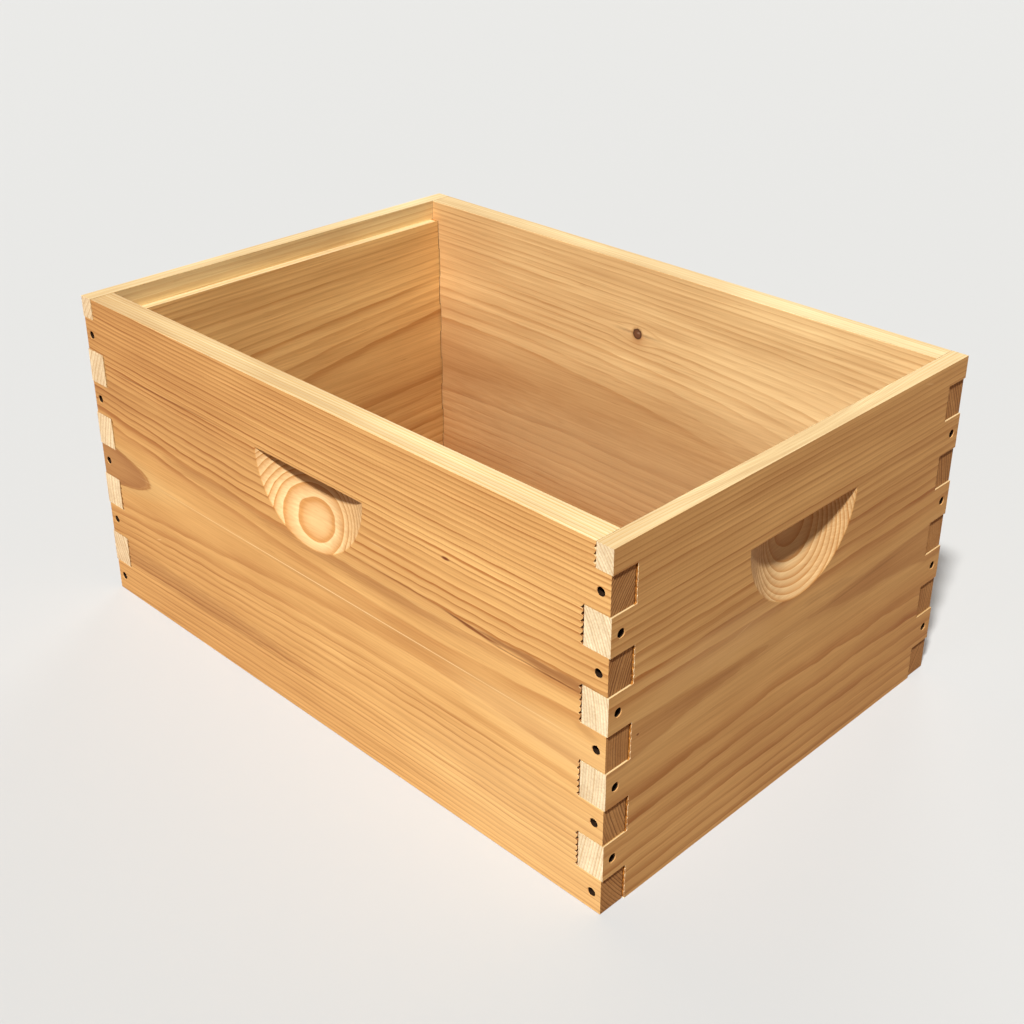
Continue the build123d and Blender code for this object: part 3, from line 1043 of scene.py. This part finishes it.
def finished_mesh(thing):
    """The plain mesh of an object with all its modifiers, after which the object is removed."""
    bpy.context.view_layer.update()
    depsgraph = bpy.context.evaluated_depsgraph_get()
    mesh = bpy.data.meshes.new_from_object(thing.evaluated_get(depsgraph), depsgraph=depsgraph)
    bpy.data.objects.remove(thing)
    return mesh


def extruded(outline, front, back):
    """A function that builds a prism from an outline, between two depths."""
    def build(shape):
        near = [shape.verts.new((x, y, front)) for x, y in outline]
        far = [shape.verts.new((x, y, back)) for x, y in outline]
        shape.faces.new(near)
        shape.faces.new(far[::-1])
        for first in range(len(outline)):
            second = (first + 1) % len(outline)
            shape.faces.new((near[first], far[first], far[second], near[second]))
    return build


def stand(place):
    """The matrix that stands a drawn board on its side of the box."""
    along, out, half_span = FACES[place]
    turned = Matrix((along, UP, out)).transposed().to_4x4()
    return Matrix.Translation(out * half_span) @ turned


def notched_outline(half_length, notches):
    """A drawn board's outline, with notches given as (bottom, top, half length between their bases)."""
    edge = []
    for bottom, top, base in notches:
        edge += [(half_length, bottom), (base, bottom), (base, top), (half_length, top)]
    if notches[0][0] > 0.0:
        edge.insert(0, (half_length, 0.0))
    else:
        del edge[0]
    if notches[-1][1] < BOX_HEIGHT:
        edge.append((half_length, BOX_HEIGHT))
    else:
        del edge[-1]
    return edge + [(-x, y) for x, y in reversed(edge)]


def handhold_build(joinery):
    """A function that builds the half dish that cuts a handhold, below its flat roof."""
    radius, depth = joinery.handhold_radius, joinery.handhold_depth
    roof = BOX_HEIGHT - joinery.handhold_drop
    ball = (radius**2 + depth**2) / (2 * depth)
    rings, spokes, overshoot = 26, 72, 0.0015

    def build(shape):
        profile = [radius * number / rings for number in range(1, rings + 1)]
        profile = [(reach, ball - depth - sqrt(ball**2 - reach**2)) for reach in profile]
        profile[-1] = (radius + joinery.arris, 0.0)
        profile.append((radius + joinery.arris + overshoot, overshoot))
        middle = shape.verts.new((0.0, roof, -depth))
        rows = []
        for reach, out in profile:
            angles = [pi + pi * number / spokes for number in range(spokes + 1)]
            rows.append([shape.verts.new((reach * cos(a), roof + reach * sin(a), out)) for a in angles])
            for vertex in (rows[-1][0], rows[-1][-1]):
                vertex.co.y = roof
        for number in range(spokes):
            shape.faces.new((middle, rows[0][number], rows[0][number + 1]))
            for inner, outer in zip(rows, rows[1:]):
                shape.faces.new((inner[number], outer[number], outer[number + 1], inner[number + 1]))
        roof_line = [row[0] for row in reversed(rows)] + [middle] + [row[-1] for row in rows]
        shape.faces.new(roof_line)
        shape.faces.new(rows[-1][::-1])
        for face in shape.faces:
            face.smooth = len(face.verts) < 5
    return build


def boolean_cut(thing, cutter):
    """Cuts one object out of another, keeping the cutter's material on the new faces."""
    modifier = thing.modifiers.new("cut", "BOOLEAN")
    modifier.operation = "DIFFERENCE"
    modifier.solver = "EXACT"
    modifier.material_mode = "TRANSFER"
    modifier.object = cutter


def finger_levels(joinery, first):
    """Bottom and top of the notches for every other finger, as drawn."""
    finger = REST_HEIGHT / joinery.finger_count
    numbers = range(first, joinery.finger_count, 2)
    gap = joinery.finger_clearance
    return [(max(0.0, number * finger - gap), (number + 1) * finger + gap) for number in numbers]


def lathe(rings):
    """A function that builds a turned shape along -Z from rings of (depth, radii)."""
    def build(shape):
        rows = []
        for depth, radii in rings:
            turns = [2 * pi * number / len(radii) for number in range(len(radii))]
            rows.append([shape.verts.new((r * cos(a), r * sin(a), -depth)) for r, a in zip(radii, turns)])
        for upper, lower in zip(rows, rows[1:]):
            for first in range(len(upper)):
                second = (first + 1) % len(upper)
                shape.faces.new((upper[first], lower[first], lower[second], upper[second]))
        shape.faces.new(rows[0])
        shape.faces.new(rows[-1][::-1])
    return build


# Depths below the top of a nail's domed head, and the shares of its radius there
HEAD_DOME = ((0.0, 0.45), (0.00012, 0.80), (0.0004, 0.97), (0.0006, 1.0))
HEAD_EDGE = 0.0003
NECK_SHARE = 1.15

# Grip rings in the wire below the head, in metres, and their depth as a share of the wire
GRIP_RINGS, GRIP_START, GRIP_PITCH, GRIP_HALF, GRIP_SHARE = 6, 0.0012, 0.0013, 0.0003, 0.92

# How far along the point its flats are drawn, and how much they take off the wire
POINT_SHARES, POINT_TAKE = (0.3, 0.65, 1.0), 0.92


def nail_mesh(nails):
    """One nail: domed head, grip rings under it, wire and a point with four flats."""
    sides = 16
    head, shank = nails.head / 2, nails.shank / 2
    top, tip = nails.setting, nails.setting + nails.nail_length
    under = top + nails.head_thickness
    point_top = tip - nails.point

    def ring(depth, radius):
        return depth, [radius] * sides

    def flats(depth, half):
        turns = [2 * pi * number / sides for number in range(sides)]
        return depth, [min(shank, half / max(abs(cos(turn)), abs(sin(turn)))) for turn in turns]

    rings = [ring(top + depth, head * share) for depth, share in HEAD_DOME]
    rings += [ring(under - HEAD_EDGE, head), ring(under, shank * NECK_SHARE)]
    for number in range(GRIP_RINGS):
        groove = under + GRIP_START + number * GRIP_PITCH
        for step, share in enumerate((1.0, GRIP_SHARE, 1.0)):
            rings.append(ring(groove + step * GRIP_HALF, shank * share))
    rings.append(ring(point_top, shank))
    for share in POINT_SHARES:
        rings.append(flats(point_top + nails.point * share, shank * (1.0 - POINT_TAKE * share)))
    return mesh_of("nail_pattern", lathe(rings))


def bore_mesh(nails):
    """The room that one nail takes: an uneven hole with a split in its rim, then the way of its shank."""
    sides, split_side, split_reach = 24, 4, 0.16
    draw = random.Random(5)
    uneven = [draw.uniform(0.975, 1.02) - 1.0 for number in range(sides)]
    hole, shank = nails.hole / 2, nails.shank / 2 + nails.fit
    under = nails.setting + nails.head_thickness
    tip = nails.setting + nails.nail_length + nails.fit

    def ring(depth, radius, roughly=0.0, splitting=0.0):
        radii = [radius * (1.0 + uneven[number] * roughly) for number in range(sides)]
        radii[split_side] += radius * split_reach * splitting
        return depth, radii

    rings = [
        ring(-0.001, hole * 1.16, 1.0, 1.0), ring(0.0, hole * 1.10, 1.0, 1.0), ring(0.0004, hole, 1.0, 0.6),
        ring(0.0018, hole, 0.6, 0.0), ring(under, hole), ring(under, shank), ring(tip, shank),
    ]
    return mesh_of("bore_pattern", lathe(rings))


def row_mesh(name, pattern, material, seed):
    """One corner's row of nails or bores, in its place in the box."""
    settings = bpy.context.scene.hive_box
    place, way, first = NAIL_ROWS[name]
    finger = REST_HEIGHT / settings.joinery.finger_count
    half_face = (BOX_LENGTH if place in ("front", "back") else BOX_WIDTH) / 2
    row = new_object(name, pattern.copy())
    modifier = row.modifiers.new("row", "NODES")
    modifier.node_group = Shop.nail_row
    set_inputs(modifier, {
        "Count": len(range(first, settings.joinery.finger_count, 2)), "Spacing": 2 * finger, "Seed": seed,
        "First": (way * (half_face - settings.nails.edge_distance), (first + 0.5) * finger, 0.0),
        "Material": material,
    })
    mesh = finished_mesh(row)
    mesh.transform(stand(place))
    return mesh


def bores_object(nails):
    """The bores of all the nails, as one cutter."""
    pattern = bore_mesh(nails)
    shape = bmesh.new()
    for seed, name in enumerate(NAIL_ROWS):
        mesh = row_mesh(name, pattern, Shop.hole, seed)
        shape.from_mesh(mesh)
        bpy.data.meshes.remove(mesh)
    mesh = bpy.data.meshes.new("bores")
    shape.to_mesh(mesh)
    shape.free()
    return new_object("bores", mesh, Shop.hole)


def add_gouges(blank, joinery, gouge, seed, material):
    """Cuts one kind of notch's gouges into a drawn board, and gives the cutter's tooth."""
    depth, base, bottom, top, notches, spacing = gouge
    height, lean, mouth, over = joinery.gouge_height, 0.25, 0.0001, 0.001
    widening = height * mouth / depth
    corners = (
        (-depth, height * lean), (mouth, -widening * lean), (mouth, height + widening * (1.0 - lean)),
    )
    tooth = new_object("gouge", mesh_of("gouge", extruded(corners, over, -joinery.gouge_reach)))
    count = int((top - bottom - height) / joinery.gouge_pitch) + 1
    slack = (top - bottom - height - (count - 1) * joinery.gouge_pitch) / 2
    modifier = blank.modifiers.new("gouges", "NODES")
    modifier.node_group = Shop.gouges
    set_inputs(modifier, {
        "Gouge": tooth, "Gouges": count, "Pitch": joinery.gouge_pitch, "Notches": notches, "Seed": seed,
        "Notch spacing": spacing, "First": (base, bottom + slack, 0.0), "Material": material,
    })
    return tooth


def cut_board(name, place, outline, thickness, gouges, material, rebate=None):
    """Makes one board from its outline: rebate, eased edges, cutter gouges, handhold, then the bores."""
    settings = bpy.context.scene.hive_box
    joinery = settings.joinery
    blank = new_object(name, mesh_of(name, extruded(outline, 0.0, -thickness)), material)
    spare = []

    if rebate:
        spare.append(new_object("rebate", mesh_of("rebate", extruded(*rebate)), material))
        boolean_cut(blank, spare[-1])

    ease = blank.modifiers.new("ease", "BEVEL")
    ease.width = joinery.arris
    ease.segments = 2
    ease.limit_method = "ANGLE"
    ease.use_clamp_overlap = True

    for number, gouge in enumerate(gouges):
        spare.append(add_gouges(blank, joinery, gouge, number + len(name), material))

    spare.append(new_object("dish", mesh_of("dish", handhold_build(joinery)), material))
    boolean_cut(blank, spare[-1])
    mesh = finished_mesh(blank)
    mesh.transform(stand(place))

    board = new_object(name, mesh)
    spare.append(bores_object(settings.nails))
    boolean_cut(board, spare[-1])
    mesh = finished_mesh(board)
    for thing in spare:
        bpy.data.objects.remove(thing)
    mesh.shade_smooth()
    mesh.set_sharp_from_angle(angle=joinery.sharp_angle)
    return mesh


def place_piece(name, mesh, nodes):
    """Puts a finished piece in the box in the place of its CAD nodes."""
    piece = new_object(name, mesh)
    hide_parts(*nodes)
    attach(piece, "root")


def make_boards(kind, places, outline, thickness, half_length, gouges, rebate=None):
    """Makes the two boards of one kind, each in its own pine."""
    for place in places:
        name = place + kind
        pine = board_material(place, thickness, half_length)
        mesh = cut_board(name, place, outline, thickness, gouges, pine, rebate)
        place_piece(name + "_board", mesh, [name])


# Operators

class HIVE_OT_side_boards(Operator):
    """Makes the two long side boards"""

    bl_idname = "hive_box.side_boards"
    bl_label = "Side boards"

    def execute(self, context):
        settings = context.scene.hive_box
        joinery = settings.joinery
        Shop.open(settings.nails)
        levels = finger_levels(joinery, first=1)
        notch_base = BOX_LENGTH / 2 - END_THICKNESS - joinery.side_notch_relief
        wall_base = BOX_LENGTH / 2 - END_THICKNESS + joinery.rest_ledge - joinery.rest_wall_relief
        wall_bottom = REST_HEIGHT - joinery.finger_clearance
        notches = [(bottom, top, notch_base) for bottom, top in levels]
        notches.append((wall_bottom, BOX_HEIGHT, wall_base))
        outline = notched_outline(SIDE_LENGTH / 2, notches)
        spacing = levels[1][0] - levels[0][0]
        depth = joinery.side_gouge_depth
        gouges = (
            (depth, notch_base, *levels[0], len(levels), spacing),
            (depth, wall_base, wall_bottom, BOX_HEIGHT, 1, 0.0),
        )
        make_boards("_side", ("front", "back"), outline, SIDE_THICKNESS, SIDE_LENGTH / 2, gouges)
        return {"FINISHED"}


class HIVE_OT_end_boards(Operator):
    """Makes the two end boards with their frame rests"""

    bl_idname = "hive_box.end_boards"
    bl_label = "End boards"

    def execute(self, context):
        settings = context.scene.hive_box
        joinery = settings.joinery
        Shop.open(settings.nails)
        levels = finger_levels(joinery, first=0)
        notch_base = BOX_WIDTH / 2 - SIDE_THICKNESS - joinery.end_notch_relief
        outline = notched_outline(BOX_WIDTH / 2, [(bottom, top, notch_base) for bottom, top in levels])
        spacing = levels[2][0] - levels[1][0]
        depth = joinery.end_gouge_depth
        gouges = (
            (depth, notch_base, *levels[1], len(levels) - 1, spacing),
            (depth, notch_base, *levels[0], 1, 0.0),
        )
        over, wall = 0.01, END_THICKNESS - joinery.rest_ledge
        reach = BOX_WIDTH / 2 + over
        top = BOX_HEIGHT + over
        slot = ((-reach, REST_HEIGHT), (reach, REST_HEIGHT), (reach, top), (-reach, top))
        rebate = (slot, -wall, -END_THICKNESS - over)
        make_boards("_end", ("left", "right"), outline, END_THICKNESS, BOX_WIDTH / 2, gouges, rebate)
        return {"FINISHED"}


class HIVE_OT_nails(Operator):
    """Makes the rows of sunk nails"""

    bl_idname = "hive_box.nails"
    bl_label = "Nails"

    def execute(self, context):
        nails = context.scene.hive_box.nails
        Shop.open(nails)
        steel = steel_material(nails)
        pattern = nail_mesh(nails)
        for seed, name in enumerate(NAIL_ROWS):
            mesh = row_mesh(name, pattern, steel, seed)
            place_piece(name.replace("_nails", "_wire_nails"), mesh, [name])
        return {"FINISHED"}


class HIVE_OT_stage(Operator):
    """Makes the floor, the light and the camera"""

    bl_idname = "hive_box.stage"
    bl_label = "Stage"

    def execute(self, context):
        scene, stage = context.scene, context.scene.hive_box.stage
        scene.view_settings.view_transform = "Standard"

        half = stage.floor_size / 2
        square = ((-half, -half), (half, -half), (half, half), (-half, half))
        material, w, shader = new_material("floor_paint")
        seen = w.seen()
        w.fill(shader, {
            "Base Color": w.mix(seen, rgba(stage.floor_glow), rgba(stage.floor)), "Roughness": 0.8,
            "Emission Color": w.mix(seen, (0.0, 0.0, 0.0, 1.0), rgba(stage.floor_lift)),
            "Emission Strength": 1.0,
        })
        slab = mesh_of("floor", extruded(square, 0.0, -stage.floor_thickness))
        floor = new_object("floor", slab, material)

        scene.world = bpy.data.worlds.new("studio")
        scene.world.use_nodes = True
        w = Wiring(scene.world.node_tree)
        fill = rgba([part * stage.fill for part in stage.fill_colour])
        sky = w.mix(w.seen(), fill, rgba(stage.backdrop))
        w.fill(w.tree.nodes["Background"].inputs, {"Color": sky, "Strength": 1.0})

        for name, light_from, strength, width, glints in (
            ("sun", stage.sun_from, stage.sun_strength, stage.sun_angle, True),
            ("back_light", stage.back_from, stage.back_strength, stage.back_angle, False),
        ):
            light = bpy.data.lights.new(name, "SUN")
            light.energy = strength
            light.angle = width
            aimed(name, light, -Vector(light_from)).visible_glossy = glints

        lens = bpy.data.cameras.new("camera")
        lens.lens = stage.lens
        lens.sensor_width = stage.sensor
        lens.shift_y = stage.shift
        lens.clip_end = stage.sight
        back = Vector((
            sin(stage.azimuth) * cos(stage.elevation),
            -cos(stage.azimuth) * cos(stage.elevation),
            sin(stage.elevation),
        ))
        scene.camera = aimed("camera", lens, -back)
        scene.camera.location = Vector(stage.target) + back * stage.distance
        return {"FINISHED"}


class HIVE_PT_panel(Panel):
    """Lists the pieces of the hive box"""

    bl_idname = "HIVE_PT_panel"
    bl_label = "Hive box"
    bl_space_type = "VIEW_3D"
    bl_region_type = "UI"
    bl_category = "Hive box"

    def draw(self, context):
        for operator in OPERATORS:
            self.layout.operator(operator.bl_idname)
        for part in HIVE_PG_settings.__annotations__:
            group = getattr(context.scene.hive_box, part)
            box = self.layout.box()
            box.label(text=part.capitalize())
            for name in group.__annotations__:
                box.prop(group, name)


OPERATORS = (HIVE_OT_side_boards, HIVE_OT_end_boards, HIVE_OT_nails, HIVE_OT_stage)
CLASSES = (
    HIVE_PG_joinery, HIVE_PG_nails, HIVE_PG_finish,
    HIVE_PG_front_figure, HIVE_PG_back_figure, HIVE_PG_right_figure, HIVE_PG_left_figure,
    HIVE_PG_stage, HIVE_PG_settings, *OPERATORS, HIVE_PT_panel,
)


def register():
    for each in CLASSES:
        bpy.utils.register_class(each)
    bpy.types.Scene.hive_box = PointerProperty(type=HIVE_PG_settings)


def unregister():
    del bpy.types.Scene.hive_box
    for each in reversed(CLASSES):
        bpy.utils.unregister_class(each)


def main():
    """Builds the box piece by piece and notes its size beside the CAD model's."""
    register()
    bpy.ops.hive_box.side_boards()
    bpy.ops.hive_box.end_boards()
    bpy.ops.hive_box.nails()
    bpy.ops.hive_box.stage()


if __name__ == "__main__":
    main()
